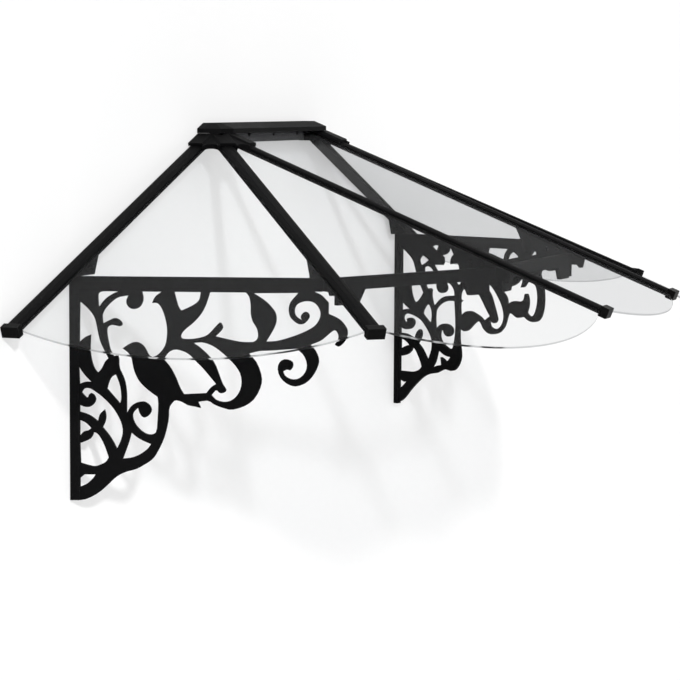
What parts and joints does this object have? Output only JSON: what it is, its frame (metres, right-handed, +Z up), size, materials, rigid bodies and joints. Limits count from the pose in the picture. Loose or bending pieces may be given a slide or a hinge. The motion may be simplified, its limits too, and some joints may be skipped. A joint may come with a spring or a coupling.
{
  "type": "door canopy",
  "caption": "Half-octagon wall canopy over a door: clear roof panels with rounded lower edges on a black frame, carried by scroll brackets.",
  "frame": {"origin": "on the wall, in the middle of the back face of the ridge rail", "axes": "+X along the wall to the right as seen from the front, +Y into the wall, +Z up"},
  "size_m": [1.7852, 0.7344, 0.5662],
  "materials": {
    "black_metal": "satin powder coat",
    "black_plastic": "matt",
    "clear_sheet": "clear and smooth"
  },
  "bodies": {
    "root": {"ridge_rail": "black_metal", "ridge_hub_left": "black_metal", "ridge_hub_right": "black_metal", "ridge_collar_left": "black_metal", "ridge_collar_right": "black_metal", "ridge_cap": "black_metal", "rafter_base_left_wall": "black_metal", "rafter_base_left_diagonal": "black_metal", "rafter_base_left_front": "black_metal", "rafter_base_right_front": "black_metal", "rafter_base_right_diagonal": "black_metal", "rafter_base_right_wall": "black_metal", "rafter_cover_left_wall": "black_metal", "rafter_cover_left_diagonal": "black_metal", "rafter_cover_left_front": "black_metal", "rafter_cover_right_front": "black_metal", "rafter_cover_right_diagonal": "black_metal", "rafter_cover_right_wall": "black_metal", "end_cap_left_wall": "black_plastic", "end_cap_left_diagonal": "black_plastic", "end_cap_left_front": "black_plastic", "end_cap_right_front": "black_plastic", "end_cap_right_diagonal": "black_plastic", "end_cap_right_wall": "black_plastic", "panel_left_side": "clear_sheet", "panel_left_front": "clear_sheet", "panel_front": "clear_sheet", "panel_right_front": "clear_sheet", "panel_right_side": "clear_sheet", "rafter_clip_left_wall": "black_metal", "rafter_clip_left_diagonal": "black_metal", "rafter_clip_left_front": "black_metal", "rafter_clip_right_front": "black_metal", "rafter_clip_right_diagonal": "black_metal", "rafter_clip_right_wall": "black_metal", "ring_beam_left": "black_metal", "ring_beam_front": "black_metal", "ring_beam_right": "black_metal", "scroll_bracket_left": "black_metal", "scroll_bracket_right": "black_metal"}
  },
  "joints": []
}
